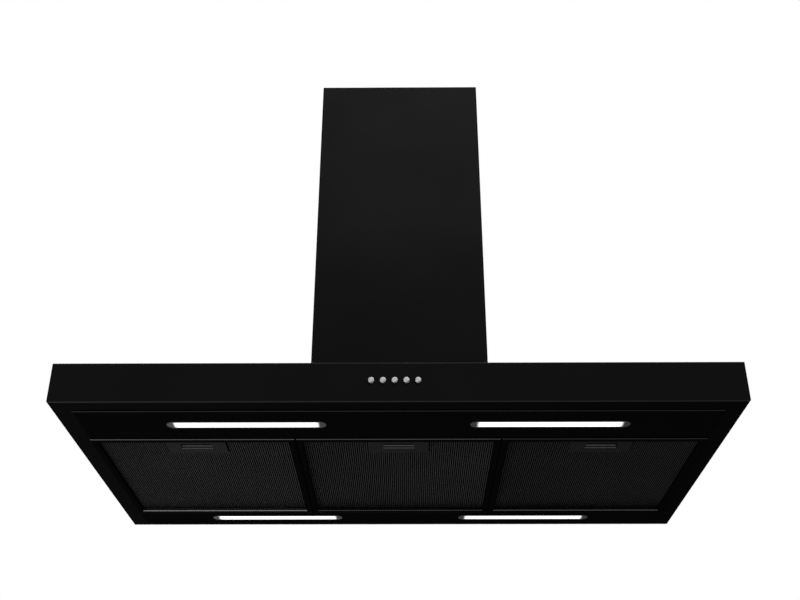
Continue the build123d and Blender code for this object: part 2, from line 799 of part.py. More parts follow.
def blower_box_rear():
    """The rear wall that the hood hangs on, with its own foot flange."""
    half = box_width / 2
    t = box_sheet
    rear = block((-half, half), (-t, 0), (roof, box_top - t))
    x, _ = box_foot_opening()
    rear += block((-x, x), (-t - box_flange, -t), (roof, roof + t))
    for side in (-1, 1):
        at = (side * hanging_hole_spacing / 2, -2 * t, box_top - hanging_hole_drop)
        rear -= rod(hanging_hole_radius, 3 * t, at, (0, 1, 0))
    return rear


def blower_box_top():
    half = box_width / 2
    t = box_sheet
    top = block((-half, half), (-box_depth, 0), (box_top - t, box_top))
    top -= Pos(0, collar_y, box_top - t / 2) * Cylinder(duct_radius - collar_wall, 3 * t)
    for x, y in collar_screw_places():
        top -= screw_hole((x, y, collar_foot), (0, 0, -1))
    start = (gland_x, -gland_wall_distance, box_top - 2 * t)
    return top - rod(gland_shank + gland_clearance, 3 * t, start, (0, 0, 1))


def flap_axis_z():
    return collar_foot + flap_height


def collar_flange_ring():
    """The flat ring round the collar's foot."""
    ring = rod(duct_radius + collar_flange, collar_flange_thickness, (0, collar_y, box_top), (0, 0, 1))
    bore = duct_radius - collar_step + collar_fit
    ring -= rod(bore, 3 * collar_flange_thickness, (0, collar_y, box_top - past), (0, 0, 1))
    for x, y in collar_screw_places():
        ring -= screw_hole((x, y, collar_foot), (0, 0, -1))
    return ring


def outlet_collar():
    """A round spigot that stands on its flange, with bores in its wall for the flaps' pivots."""
    spigot_height = collar_height - collar_flange_thickness
    collar = rod(duct_radius, spigot_height, (0, collar_y, collar_foot), (0, 0, 1))
    collar += rod(duct_radius - collar_step, collar_flange_thickness, (0, collar_y, box_top), (0, 0, 1))
    inner = duct_radius - collar_wall
    collar -= rod(inner, collar_height + 2 * past, (0, collar_y, box_top - past), (0, 0, 1))
    bore = flap_pin_reach() + flap_seat_gap
    for side in (-1, 1):
        start = (side * flap_axis_offset, collar_y - bore, flap_axis_z())
        collar -= rod(flap_pin_radius + flap_pin_clearance, 2 * bore, start, (0, 1, 0))
    return collar


def flap_seat():
    """A ring inside the collar, with a bridge across it, that the two flaps close on."""
    radius = duct_radius - collar_wall - collar_fit
    top = flap_axis_z() - flap_thickness / 2 - flap_seat_gap
    bottom = top - flap_ledge_thickness
    seat = rod(radius, flap_ledge_thickness, (0, collar_y, bottom), (0, 0, 1))
    opening = radius - flap_ledge
    seat -= rod(opening, flap_ledge_thickness + 2 * past, (0, collar_y, bottom - past), (0, 0, 1))
    half = bridge_width / 2
    reach = opening + flap_ledge / 2
    bridge_z = (bottom, flap_axis_z() + flap_rod_radius)
    seat += block((-half, half), (collar_y - reach, collar_y + reach), bridge_z)
    # notches in the ring for the flaps' rods
    clear = flap_rod_radius + flap_seat_gap
    for side in (-1, 1):
        x = side * flap_axis_offset
        y = (collar_y - radius - past, collar_y + radius + past)
        seat -= block((x - clear, x + clear), y, (flap_axis_z() - clear, top + past))
    return seat


def flap_pin_reach():
    """Distance from the collar's centre line to the end of a flap's pivot."""
    inner = duct_radius - collar_wall
    return sqrt(inner ** 2 - flap_axis_offset ** 2) + flap_pin_depth


def flap(side):
    """A D-shaped plate on a rod whose thin ends turn in the collar."""
    radius = duct_radius - collar_wall - flap_clearance
    z = flap_axis_z()
    plate = Pos(0, collar_y, z) * Cylinder(radius, flap_thickness)
    x = side * flap_axis_offset
    keep = (x, side * 2 * radius) if side > 0 else (side * 2 * radius, x)
    plate = plate & block(keep, (collar_y - 2 * radius, collar_y + 2 * radius), (z - past, z + past))
    half = sqrt(radius ** 2 - (flap_axis_offset + flap_rod_radius) ** 2)
    plate += rod(flap_rod_radius, 2 * half, (x, collar_y - half, z), (0, 1, 0))
    reach = flap_pin_reach()
    return plate + rod(flap_pin_radius, 2 * reach, (x, collar_y - reach, z), (0, 1, 0))


def scroll_outline(grow):
    """The scroll's side view in (y, z) from the axle: three quarter arcs that widen, and the throat."""
    r = scroll_radius + grow
    a = scroll_growth
    throat_rear = a + scroll_outer + grow
    throat_front = throat_rear - scroll_throat - 2 * grow
    top = box_top - box_sheet - axle_z
    first = CenterArc((0, 0), r, 90, 90)
    second = CenterArc((a, 0), r + a, 180, 90)
    third = CenterArc((a, a), r + 2 * a, 270, 90)
    rest = Polyline((throat_rear, a), (throat_rear, top), (throat_front, top), (throat_front, r), (0, r))
    return make_face([first, second, third, *rest.edges()])


def scroll_side_plane(x):
    """Sketch plane square to the axle, with its own X towards the wall and its own Y upwards."""
    return Plane(origin=(x, axle_y, axle_z), x_dir=(0, 1, 0), z_dir=(1, 0, 0))


def scroll_half(side):
    half = scroll_width / 2
    start = 0 if side > 0 else -half
    shell = extrude(scroll_side_plane(start) * scroll_outline(scroll_wall), half)
    inner_start = 0 if side > 0 else -half + scroll_wall
    shell -= extrude(scroll_side_plane(inner_start) * scroll_outline(0), half - scroll_wall)
    start = (side * (half - 2 * scroll_wall), axle_y, axle_z)
    shell -= rod(inlet_radius, 4 * scroll_wall, start, (side, 0, 0))
    top = box_top - box_sheet
    inner_x = (0, half - scroll_wall) if side > 0 else (-half + scroll_wall, 0)
    outer_x = (0, half) if side > 0 else (-half, 0)
    flange_y = (collar_y - scroll_flange, collar_y + scroll_flange)
    shell += block(outer_x, flange_y, (top - scroll_flange_thickness, top))
    throat_y = (collar_y - scroll_throat / 2, collar_y + scroll_throat / 2)
    shell -= block(inner_x, throat_y, (top - scroll_flange_thickness - past, top + past))
    for x, y in collar_screw_places():
        shell -= screw_hole((x, y, collar_foot), (0, 0, -1))
    if side < 0:
        for y, z in motor_arm_places():
            start = (-half - past, y, z)
            shell -= rod(screw_radius + screw_clearance, scroll_wall + 2 * past, start, (1, 0, 0))
    return shell


def impeller():
    wheel = rod(impeller_radius, impeller_ring, (-impeller_ring / 2, axle_y, axle_z), (1, 0, 0))
    wheel += rod(hub_radius, hub_width, (-hub_width / 2, axle_y, axle_z), (1, 0, 0))
    half = impeller_width / 2
    inner = impeller_radius - blade_depth
    for x in (-half, half - impeller_ring):
        ring = rod(impeller_radius, impeller_ring, (x, axle_y, axle_z), (1, 0, 0))
        wheel += ring - rod(inner, 3 * impeller_ring, (x - impeller_ring, axle_y, axle_z), (1, 0, 0))
    blade_length = blade_depth / cos(radians(blade_angle)) - 2 * blade_thickness
    blades = []
    for i in range(impeller_blades):
        place = Location((0, axle_y, axle_z)) * Rot(i * 360 / impeller_blades, 0, 0)
        at = place * Pos(0, inner + blade_depth / 2, 0) * Rot(blade_angle, 0, 0)
        blades.append(at * Box(impeller_width - impeller_ring, blade_length, blade_thickness))
    wheel = wheel + blades
    start = (-hub_width / 2 - past, axle_y, axle_z)
    return wheel - rod(shaft_radius + hub_bore_gap, hub_width + 2 * past, start, (1, 0, 0))


def motor_shaft():
    start = motor_face - motor_shaft_depth + shaft_end_gap
    return rod(shaft_radius, shaft_overhang - start, (start, axle_y, axle_z), (1, 0, 0))


def motor():
    body = rod(motor_radius, motor_length, (motor_face - motor_length, axle_y, axle_z), (1, 0, 0))
    body = fillet(body.edges().filter_by(GeomType.CIRCLE), motor_edge)
    start = (motor_face - motor_shaft_depth, axle_y, axle_z)
    return body - rod(shaft_radius + shaft_clearance, motor_shaft_depth + past, start, (1, 0, 0))


def motor_bracket():
    """A hub plate with arms out to the rubber mounts on the scroll's side."""
    t = motor_arm_thickness
    plate = rod(motor_hub_radius, t, (motor_face, axle_y, axle_z), (1, 0, 0))
    for i in range(grommet_count):
        turn = Location((motor_face, axle_y, axle_z)) * Rot(90 + i * 360 / grommet_count, 0, 0)
        reach = motor_arm_radius + grommet_radius
        arm = Box(t, reach, motor_arm_width, align=(low, low, mid))
        plate += turn * arm
    plate -= rod(motor_hub_bore, 3 * t, (motor_face - t, axle_y, axle_z), (1, 0, 0))
    for y, z in motor_arm_places():
        plate -= rod(screw_radius + screw_clearance, 3 * t, (motor_face - t, y, z), (1, 0, 0))
    return plate


def motor_grommets():
    x = motor_face + motor_arm_thickness
    rings = []
    for y, z in motor_arm_places():
        ring = rod(grommet_radius, grommet_thickness, (x, y, z), (1, 0, 0))
        bore_start = (x - past, y, z)
        ring -= rod(screw_radius + screw_clearance, grommet_thickness + 2 * past, bore_start, (1, 0, 0))
        rings.append(ring)
    return group(rings)


# ---- electrics --------------------------------------------------------------------------------
def control_span():
    floor = roof + control_floor
    half = control_width / 2
    return (control_x - half, control_x + half), (floor, floor + control_height)


def control_box():
    x, z = control_span()
    t = control_wall
    y = (-box_sheet - control_depth, -box_sheet)
    box = block(x, y, z)
    box -= block((x[0] + t, x[1] - t), (y[0] - past, y[1] - t), (z[0] + t, z[1] - t))
    # posts that the board stands on
    board_x, board_z = board_span()
    for px in (board_x[0] + board_post_radius, board_x[1] - board_post_radius):
        for pz in (board_z[0] + board_post_radius, board_z[1] - board_post_radius):
            box += rod(board_post_radius, board_post_height, (px, y[1] - t, pz), (0, -1, 0))
    return box


def board_span():
    x, z = control_span()
    edge = control_wall + board_margin
    return (x[0] + edge, x[1] - edge), (z[0] + edge, z[1] - edge)


def board_face():
    """Depth of the board's front face."""
    return -box_sheet - control_wall - board_post_height - board_thickness


def control_board():
    """The circuit board with its row of relays."""
    x, z = board_span()
    y = board_face()
    board = block(x, (y, y + board_thickness), z)
    w, d, h = relay_size
    for i in range(relay_count):
        centre = (x[0] + x[1]) / 2 + (i - (relay_count - 1) / 2) * relay_pitch
        floor = z[0] + relay_rise
        board += block((centre - w / 2, centre + w / 2), (y - d, y), (floor, floor + h))
    return board


def terminal_block():
    """The block on the board that the mains lead is clamped in, with a sunk screw for each pole."""
    x, z = board_span()
    w, d, h = terminal_block_size
    middle = (x[0] + x[1]) / 2
    floor = z[0] + terminal_block_rise
    y = board_face()
    body = block((middle - w / 2, middle + w / 2), (y - d, y), (floor, floor + h))
    for i in range(terminal_poles):
        pole_x = middle + (i - (terminal_poles - 1) / 2) * w / terminal_poles
        body -= rod(terminal_screw_radius, terminal_screw_depth, (pole_x, y - d, floor + h / 2), (0, 1, 0))
    return body


def control_lid():
    x, z = control_span()
    y = -box_sheet - control_depth
    return block(x, (y - control_wall, y), z)


def capacitor():
    y = -box_sheet - capacitor_radius
    z = roof + capacitor_floor
    can = rod(capacitor_radius, capacitor_length, (capacitor_x, y, z), (0, 0, 1))
    # moulded foot that the can is fixed to the box by
    half = capacitor_foot_width / 2
    foot_x = (capacitor_x - half, capacitor_x + half)
    return can + block(foot_x, (y, -box_sheet), (z, z + capacitor_foot_height))


def lamp_driver():
    w, d, h = driver_size
    y = front + driver_inset
    top = roof - sheet
    return block((driver_x - w / 2, driver_x + w / 2), (y, y + d), (top - h, top))


def cable_gland():
    at = (gland_x, -gland_wall_distance, box_top)
    gland = rod(gland_radius, gland_height, at, (0, 0, 1))
    gland = fillet(gland.edges().group_by(Axis.Z)[-1], gland_edge)
    tail = box_sheet + gland_tail
    gland += rod(gland_shank, tail, at, (0, 0, -1))
    start = (gland_x, -gland_wall_distance, box_top - tail - past)
    return gland - rod(gland_bore, gland_height + tail + 2 * past, start, (0, 0, 1))


# ---- wiring -----------------------------------------------------------------------------------
def lead(*points):
    """A round lead along straight runs joined by arcs."""
    path = FilletPolyline(*points, radius=lead_bend) if len(points) > 2 else Line(*points)
    return sweep(Plane(origin=path @ 0, z_dir=path % 0) * Circle(lead_radius), path=path)


def wiring():
    """The fixed leads: lamp driver to the lamps, control box to the driver, the switches and the motor."""
    high = roof - sheet - lead_roof_gap
    middle = high - lead_layer
    case_top = panel_top + lamp_case_height
    w, d, h = driver_size
    control_y = -lead_wall_distance
    left_face = driver_x - w / 2
    rear_face = front + driver_inset + d
    driver_floor = roof - sheet - h
    case_x = lamp_offset + lead_case_reach
    x, z = control_span()
    control_z = (z[0] + z[1]) / 2
    rise_x = (x[1] - lead_inset - lead_pair_gap, x[1] - lead_inset)
    near_y = rear_face - 1.5 * lead_layer
    far_y = near_y + lead_layer
    switch_rear = switch_front() + switch_depth + terminal_length
    switch_x = button_bank_x
    rise_y = bay_front - lead_bend
    turn_y = -chimney_depth - lead_bend
    motor_rear = axle_y + motor_radius
    motor_x = motor_face - motor_length / 2
    scroll_gap_y = (axle_y + scroll_growth + scroll_outer + scroll_wall - box_sheet - control_depth) / 2
    leads = [
        lead((case_x, near_y, driver_floor), (case_x, near_y, case_top)),
        lead((left_face, near_y, middle), (-case_x, near_y, middle), (-case_x, near_y, case_top)),
        lead((case_x, rear_face, high), (case_x, rear_lamp_y, high), (case_x, rear_lamp_y, case_top)),
        lead((left_face, far_y, high), (-case_x, far_y, high), (-case_x, rear_lamp_y, high),
             (-case_x, rear_lamp_y, case_top)),
        lead((switch_x, switch_rear, button_bank_z), (switch_x, rise_y - lead_ramp, button_bank_z),
             (switch_x, rise_y, high), (rise_x[0], turn_y, high), (rise_x[0], control_y, high),
             (rise_x[0], control_y, z[0])),
        lead((driver_x, rear_face, middle), (driver_x, rise_y, middle), (rise_x[1], turn_y, high),
             (rise_x[1], control_y, high), (rise_x[1], control_y, z[0])),
        lead((x[0], control_y, control_z), (x[0] - lead_side_run, control_y, control_z),
             (motor_x, scroll_gap_y, axle_z), (motor_x, motor_rear, axle_z)),
    ]
    return group(leads)


def body_screws():
    """The screws of the fixed parts: covers and box, lamp panels, collar and motor."""
    screws = [screw((x, y, roof - sheet), (0, 0, 1)) for x, y in chimney_tab_places() + box_foot_places()]
    screws += [screw((x, y, collar_foot), (0, 0, -1)) for x, y in collar_screw_places()]
    screws += [screw((motor_face, y, z), (1, 0, 0)) for y, z in motor_arm_places()]
    screws += [screw(at, axis) for at, axis in panel_screw_places()]
    return group(screws)


def main():
    parts = {
        "canopy_shell": canopy_shell(),
        "canopy_rim": canopy_rim(),
        "back_panel": back_panel(),
        "front_lamp_panel": lamp_panel((opening_front, bay_front), bay_front),
        "rear_lamp_panel": rear_lamp_panel(),
        "switch_body": switch_body(),
        "switch_bracket": switch_bracket(),
        "chimney_lower": chimney_lower(),
        "chimney_upper": chimney_upper(),
        "chimney_bracket": chimney_bracket(),
        "bracket_screws": bracket_screws(),
        "blower_box": blower_box(),
        "blower_box_rear": blower_box_rear(),
        "blower_box_top": blower_box_top(),
        "collar_flange": collar_flange_ring(),
        "outlet_collar": outlet_collar(),
        "flap_seat": flap_seat(),
        "scroll_left": scroll_half(-1),
        "scroll_right": scroll_half(1),
        "impeller": impeller(),
        "motor_shaft": motor_shaft(),
        "motor": motor(),
        "motor_bracket": motor_bracket(),
        "motor_grommets": motor_grommets(),
        "flap_left": flap(-1),
        "flap_right": flap(1),
        "control_box": control_box(),
        "control_board": control_board(),
        "terminal_block": terminal_block(),
        "control_lid": control_lid(),
        "capacitor": capacitor(),
        "lamp_driver": lamp_driver(),
        "cable_gland": cable_gland(),
        "body_screws": body_screws(),
        "wiring": wiring(),
    }
    parts["lamp_lenses"] = group([lamp_lens(x, y) for x, y in lamp_places()])
    parts["lamp_cases"] = group([lamp_case(x, y) for x, y in lamp_places()])
    parts["led_boards"] = group([led_board(x, y) for x, y in lamp_places()])
    for name, x in filter_places():
        parts[f"filter_frame_{name}"] = filter_frame(x)
        parts[f"filter_mesh_{name}"] = filter_mesh(x)
        parts[f"filter_latch_{name}"] = filter_latch(x)
        parts[f"latch_spring_{name}"] = latch_spring(x)
    for i in range(button_count):
        parts[f"button_{i + 1}"] = button(i)
        parts[f"button_spring_{i + 1}"] = button_spring(i)
    for name, shape in parts.items():
        save(shape, name)
    print(len(parts), "nodes")


main()
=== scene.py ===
import bmesh
import bpy
import numpy as np
from math import pi, radians
from mathutils import Matrix, Vector


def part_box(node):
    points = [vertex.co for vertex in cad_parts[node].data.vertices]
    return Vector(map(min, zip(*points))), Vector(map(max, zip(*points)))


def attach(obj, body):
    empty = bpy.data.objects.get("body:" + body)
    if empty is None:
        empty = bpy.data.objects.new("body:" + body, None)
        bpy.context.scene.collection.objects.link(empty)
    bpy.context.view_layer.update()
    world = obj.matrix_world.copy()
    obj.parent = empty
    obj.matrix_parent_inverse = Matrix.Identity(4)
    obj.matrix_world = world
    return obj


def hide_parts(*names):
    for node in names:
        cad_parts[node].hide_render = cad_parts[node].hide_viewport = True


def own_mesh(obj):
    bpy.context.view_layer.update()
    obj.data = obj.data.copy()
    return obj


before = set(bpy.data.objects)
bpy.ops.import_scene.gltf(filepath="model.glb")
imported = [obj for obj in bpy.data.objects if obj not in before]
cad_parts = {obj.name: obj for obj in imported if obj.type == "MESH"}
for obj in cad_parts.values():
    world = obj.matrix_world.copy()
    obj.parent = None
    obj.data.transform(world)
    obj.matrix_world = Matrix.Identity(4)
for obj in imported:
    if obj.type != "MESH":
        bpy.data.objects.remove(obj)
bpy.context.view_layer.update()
print("frame loaded:", len(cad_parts), "nodes")

cameraSetup = {
    "place": (0.012, -1.736, -0.562),
    "pitch": 28.63,  # degrees above the horizon
    "yaw": 0.43,
    "roll": 0.05,
    "focalPixels": 1061.3,  # focal length over the width of one pixel
    "imageWidth": 800,
    "centreDrop": 24,  # pixels from the picture's middle down to the lens axis
    "sensor": 36.0,
    "clip": (0.01, 100),
}


# turned about Z, then tipped up about X, then rolled about its own axis
def makeCamera(setup):
    data = bpy.data.cameras.new("camera")
    data.sensor_width = setup["sensor"]
    data.lens = setup["focalPixels"] / setup["imageWidth"] * setup["sensor"]
    data.shift_y = setup["centreDrop"] / setup["imageWidth"]
    data.clip_start, data.clip_end = setup["clip"]
    camera = bpy.data.objects.new("camera", data)
    turn = Matrix.Rotation(radians(setup["yaw"]), 4, "Z")
    turn = turn @ Matrix.Rotation(radians(90 + setup["pitch"]), 4, "X")
    turn = turn @ Matrix.Rotation(radians(setup["roll"]), 4, "Z")
    camera.matrix_world = Matrix.Translation(setup["place"]) @ turn
    bpy.context.scene.collection.objects.link(camera)
    bpy.context.scene.camera = camera


# small helpers for nodes and meshes

def feed(tree, socket, value):  # links a socket, or sets its value
    if isinstance(value, bpy.types.NodeSocket):
        tree.links.new(value, socket)
    elif value is not None:
        socket.default_value = value


def addNode(tree, kind, inputs=None, **settings):
    node = tree.nodes.new(kind)
    for name, value in settings.items():
        setattr(node, name, value)
    for name, value in (inputs or {}).items():
        feed(tree, node.inputs[name], value)
    return node


def maths(tree, operation, *values):
    return addNode(tree, "ShaderNodeMath", dict(enumerate(values)), operation=operation).outputs[0]


def vectorMaths(tree, operation, *values):
    return addNode(tree, "ShaderNodeVectorMath", dict(enumerate(values)), operation=operation).outputs[0]


# 0 where the value is at start, 1 where it is at end, smooth between
def smoothRamp(tree, value, start, end):
    node = addNode(tree, "ShaderNodeMapRange", {"Value": value, "From Min": start, "From Max": end},
                   interpolation_type="SMOOTHSTEP")
    return node.outputs["Result"]


def objectPlace(tree):
    return addNode(tree, "ShaderNodeTexCoord").outputs["Object"]


def axesOf(tree, vector):
    return addNode(tree, "ShaderNodeSeparateXYZ", {0: vector}).outputs


# quads of a rows by columns grid of points, wrapped round where it is closed
def gridFaces(rows, columns, closeColumns=False):
    i = np.arange(rows - 1)
    j = np.arange(columns if closeColumns else columns - 1)
    i, j = np.meshgrid(i, j, indexing="ij")
    near, far = i * columns, (i + 1) * columns
    across = (j + 1) % columns
    return np.stack([near + j, far + j, far + across, near + across], axis=-1).reshape(-1, 4)


# a smooth-shaded piece of quads with one material
def meshPiece(name, points, quads, material):
    mesh = bpy.data.meshes.new(name)
    mesh.vertices.add(len(points))
    mesh.vertices.foreach_set("co", np.ascontiguousarray(points, dtype=np.float32).ravel())
    mesh.loops.add(quads.size)
    mesh.loops.foreach_set("vertex_index", np.ascontiguousarray(quads, dtype=np.int32).ravel())
    mesh.polygons.add(len(quads))
    mesh.polygons.foreach_set("loop_start", np.arange(0, quads.size, 4, dtype=np.int32))
    mesh.update(calc_edges=True)
    mesh.validate()
    mesh.polygons.foreach_set("use_smooth", np.full(len(mesh.polygons), True))
    mesh.materials.append(material)
    piece = bpy.data.objects.new(name, mesh)
    bpy.context.scene.collection.objects.link(piece)
    return piece


studio = {
    "floorHeight": -1.45,
    "floorRadius": 2.6,
    "floorEdge": 2.3,  # where the floor has faded out
    "floorFade": 1.4,  # width of that fade
    "floorHub": 0.02,
    "floorRings": 12,
    "floorSpokes": 96,
    "floorColour": (0.82, 0.82, 0.82, 1),
    "floorRoughness": 0.9,
    "floorLift": 0.30,  # brightness added for the eye and for reflections only
    "worldLight": 0.35,  # strength for what the world lights, which reflections don't use
    "brightSide": -0.42,  # x of the direction where reflections are white
    "dimSide": 0.25,  # and of the direction where they are dimmest
    "dimLevel": 0.20,
}
# place, point it faces, width, height, power
studioLights = {
    "key": ((0.45, -1.95, 2.25), (0, -0.2, 0.45), 1.8, 1.2, 50),
    "fill": ((1.9, -1.6, 0.9), (0, -0.25, 0.2), 1.4, 1.4, 18),
    "back": ((-0.8, 2.2, 1.6), (0, 0, 0.2), 2.0, 1.6, 130),
    "under": ((-1.4, -0.8, -0.9), (0, -0.25, 0), 0.9, 0.6, 14),
}


# white to the eye and through glass; in reflections white on the left and dimmer on the right; and an even,
# weaker light on what is rough
def makeWorld(setup):
    world = bpy.data.worlds.new("studio")
    bpy.context.scene.world = world
    world.use_nodes = True
    tree = world.node_tree
    background = tree.nodes["Background"]
    background.inputs["Color"].default_value = (1, 1, 1, 1)
    path = addNode(tree, "ShaderNodeLightPath").outputs
    direction = axesOf(tree, addNode(tree, "ShaderNodeTexCoord").outputs["Generated"])["X"]
    side = smoothRamp(tree, direction, setup["dimSide"], setup["brightSide"])
    mirrored = maths(tree, "MULTIPLY_ADD", side, 1 - setup["dimLevel"], setup["dimLevel"])
    seen = maths(tree, "MAXIMUM", path["Is Camera Ray"], path["Is Transmission Ray"])
    lighting = maths(tree, "SUBTRACT", 1.0, maths(tree, "MAXIMUM", seen, path["Is Glossy Ray"]))
    seen = maths(tree, "MAXIMUM", seen, maths(tree, "MULTIPLY", path["Is Glossy Ray"], mirrored))
    strength = maths(tree, "MAXIMUM", seen, maths(tree, "MULTIPLY", lighting, setup["worldLight"]))
    feed(tree, background.inputs["Strength"], strength)


# an area light turned so that its own Z axis runs from the aim to its place
def makeLight(name, place, aim, width, height, power):
    data = bpy.data.lights.new(name, "AREA")
    data.shape = "RECTANGLE"
    data.size = width
    data.size_y = height
    data.energy = power
    light = bpy.data.objects.new(name, data)
    turn = (Vector(place) - Vector(aim)).to_track_quat("Z", "Y").to_matrix().to_4x4()
    light.matrix_world = Matrix.Translation(place) @ turn
    bpy.context.scene.collection.objects.link(light)


# a disc: radius times (cos, sin) of the turn; it fades by a smooth step of the distance from its middle,
# and from underneath it is clear
def makeFloor(setup):
    material = bpy.data.materials.new("paleFloor")
    material.use_nodes = True
    tree = material.node_tree
    shader = tree.nodes["Principled BSDF"]
    shader.inputs["Base Color"].default_value = setup["floorColour"]
    shader.inputs["Roughness"].default_value = setup["floorRoughness"]
    shader.inputs["Specular IOR Level"].default_value = 0.0
    flat = vectorMaths(tree, "MULTIPLY", objectPlace(tree), (1, 1, 0))
    distance = addNode(tree, "ShaderNodeVectorMath", {0: flat}, operation="LENGTH").outputs["Value"]
    solid = smoothRamp(tree, distance, setup["floorEdge"], setup["floorEdge"] - setup["floorFade"])
    path = addNode(tree, "ShaderNodeLightPath").outputs
    seen = maths(tree, "MAXIMUM", path["Is Camera Ray"], path["Is Glossy Ray"])
    seen = maths(tree, "MAXIMUM", seen, path["Is Transmission Ray"])
    above = maths(tree, "SUBTRACT", 1.0, addNode(tree, "ShaderNodeNewGeometry").outputs["Backfacing"])
    lift = maths(tree, "MULTIPLY", seen, setup["floorLift"])
    glow = addNode(tree, "ShaderNodeEmission", {"Strength": lift})
    both = addNode(tree, "ShaderNodeAddShader", {0: shader.outputs[0], 1: glow.outputs[0]})
    clear = addNode(tree, "ShaderNodeBsdfTransparent")
    shown = maths(tree, "MULTIPLY", solid, above)
    mix = addNode(tree, "ShaderNodeMixShader", {0: shown, 1: clear.outputs[0], 2: both.outputs[0]})
    feed(tree, tree.nodes["Material Output"].inputs["Surface"], mix.outputs[0])
    rings, spokes = setup["floorRings"], setup["floorSpokes"]
    radius, turn = np.meshgrid(np.linspace(setup["floorHub"], setup["floorRadius"], rings),
                               np.linspace(0, 2 * pi, spokes + 1)[:-1], indexing="ij")
    height = np.full_like(radius, setup["floorHeight"])
    grid = np.stack([radius * np.cos(turn), radius * np.sin(turn), height], axis=-1)
    faces = gridFaces(rings, spokes, closeColumns=True)
    meshPiece("floor", grid.reshape(-1, 3), faces, material)


# measures of the patterns; a noise scale is in cells to the metre
patterns = {
    "grainScale": 900.0,
    "grainShare": 0.4,  # of the fine grain in a drifting colour
    "peelDepth": 0.0002,
    "bendScale": 60.0,
    "bend": 0.012,  # how far the outlines of the zinc's facets bend
    "streakScale": 420.0,
    "streakShare": 0.3,
    "brushStrength": 0.15,
    "brushDepth": 0.0001,
    "dustScale": 35.0,
    "dustSlope": (0.3, 1.0),  # upward share of the normal where dust begins to lie, and where it all lies
    "dustPatch": (0.35, 0.75),
}


# shader node groups; build(tree, source) returns one socket for each output
def makeGroup(name, inputs, outputs, build):
    group = bpy.data.node_groups.new(name, "ShaderNodeTree")
    for label, kind, value in inputs:
        group.interface.new_socket(label, in_out="INPUT", socket_type=kind).default_value = value
    for label, kind in outputs:
        group.interface.new_socket(label, in_out="OUTPUT", socket_type=kind)
    source = group.nodes.new("NodeGroupInput")
    target = group.nodes.new("NodeGroupOutput")
    for socket, made in zip(target.inputs, build(group, source.outputs)):
        group.links.new(made, socket)
    return group


def useGroup(tree, group, **inputs):
    node = addNode(tree, "ShaderNodeGroup", node_tree=group)
    for name, value in inputs.items():
        feed(tree, node.inputs[name], value)
    return node.outputs


# how near a point is to a box's folds that run along X: the product of its nearness in Y and in Z
def buildFold(tree, source):
    place = objectPlace(tree)
    low = vectorMaths(tree, "SUBTRACT", place, source["Low"])
    high = vectorMaths(tree, "SUBTRACT", source["High"], place)
    gap = axesOf(tree, vectorMaths(tree, "MINIMUM", low, high))
    return [maths(tree, "MULTIPLY", *[smoothRamp(tree, gap[axis], source["Width"], 0.0) for axis in "YZ"])]


# 1 inside a box, falling to 0 over the softness round it
def buildInside(tree, source):
    place = objectPlace(tree)
    low = vectorMaths(tree, "SUBTRACT", place, source["Low"])
    high = vectorMaths(tree, "SUBTRACT", source["High"], place)
    gap = axesOf(tree, vectorMaths(tree, "MINIMUM", low, high))
    least = maths(tree, "MINIMUM", maths(tree, "MINIMUM", gap["X"], gap["Y"]), gap["Z"])
    return [smoothRamp(tree, least, maths(tree, "MULTIPLY", source["Softness"], -1.0), 0.0)]


# a colour that drifts over a hand's width, with finer grain on top
def buildDrift(tree, source):
    place = objectPlace(tree)
    wide = addNode(tree, "ShaderNodeTexNoise", {"Vector": place, "Scale": source["Scale"], "Detail": 3.0})
    fine = addNode(tree, "ShaderNodeTexNoise",
                   {"Vector": place, "Scale": patterns["grainScale"], "Detail": 2.0})
    grain = maths(tree, "MULTIPLY", fine.outputs["Fac"], patterns["grainShare"])
    both = maths(tree, "MULTIPLY_ADD", wide.outputs["Fac"], 1 - patterns["grainShare"], grain)
    gain = maths(tree, "MULTIPLY_ADD", maths(tree, "SUBTRACT", both, 0.5), source["Amount"], 1.0)
    colour = addNode(tree, "ShaderNodeVectorMath", {0: source["Colour"], "Scale": gain}, operation="SCALE")
    return [colour.outputs[0], both]


# the fine orange peel of a sprayed coat, or the grain of a mould
def buildPeel(tree, source):
    noise = addNode(tree, "ShaderNodeTexNoise",
                    {"Vector": objectPlace(tree), "Scale": source["Scale"], "Detail": 2.0})
    bump = addNode(tree, "ShaderNodeBump",
                   {"Height": noise.outputs["Fac"], "Strength": source["Strength"],
                    "Distance": patterns["peelDepth"]})
    return [bump.outputs["Normal"]]


# the facets of hot-dip zinc: cells with a bent outline, each a shade of its own, finely streaked
def buildSpangle(tree, source):
    place = objectPlace(tree)
    bend = addNode(tree, "ShaderNodeTexNoise",
                   {"Vector": place, "Scale": patterns["bendScale"], "Detail": 3.0})
    shift = vectorMaths(tree, "SUBTRACT", bend.outputs["Color"], (0.5, 0.5, 0.5))
    warped = vectorMaths(tree, "MULTIPLY_ADD", shift, (patterns["bend"],) * 3, place)
    cells = addNode(tree, "ShaderNodeTexVoronoi", {"Vector": warped, "Scale": source["Scale"]})
    shade = addNode(tree, "ShaderNodeSeparateColor", {0: cells.outputs["Color"]}).outputs[0]
    streak = addNode(tree, "ShaderNodeTexNoise",
                     {"Vector": place, "Scale": patterns["streakScale"], "Detail": 4.0})
    fine = maths(tree, "MULTIPLY", streak.outputs["Fac"], patterns["streakShare"])
    return [maths(tree, "MULTIPLY_ADD", shade, 1 - patterns["streakShare"], fine)]


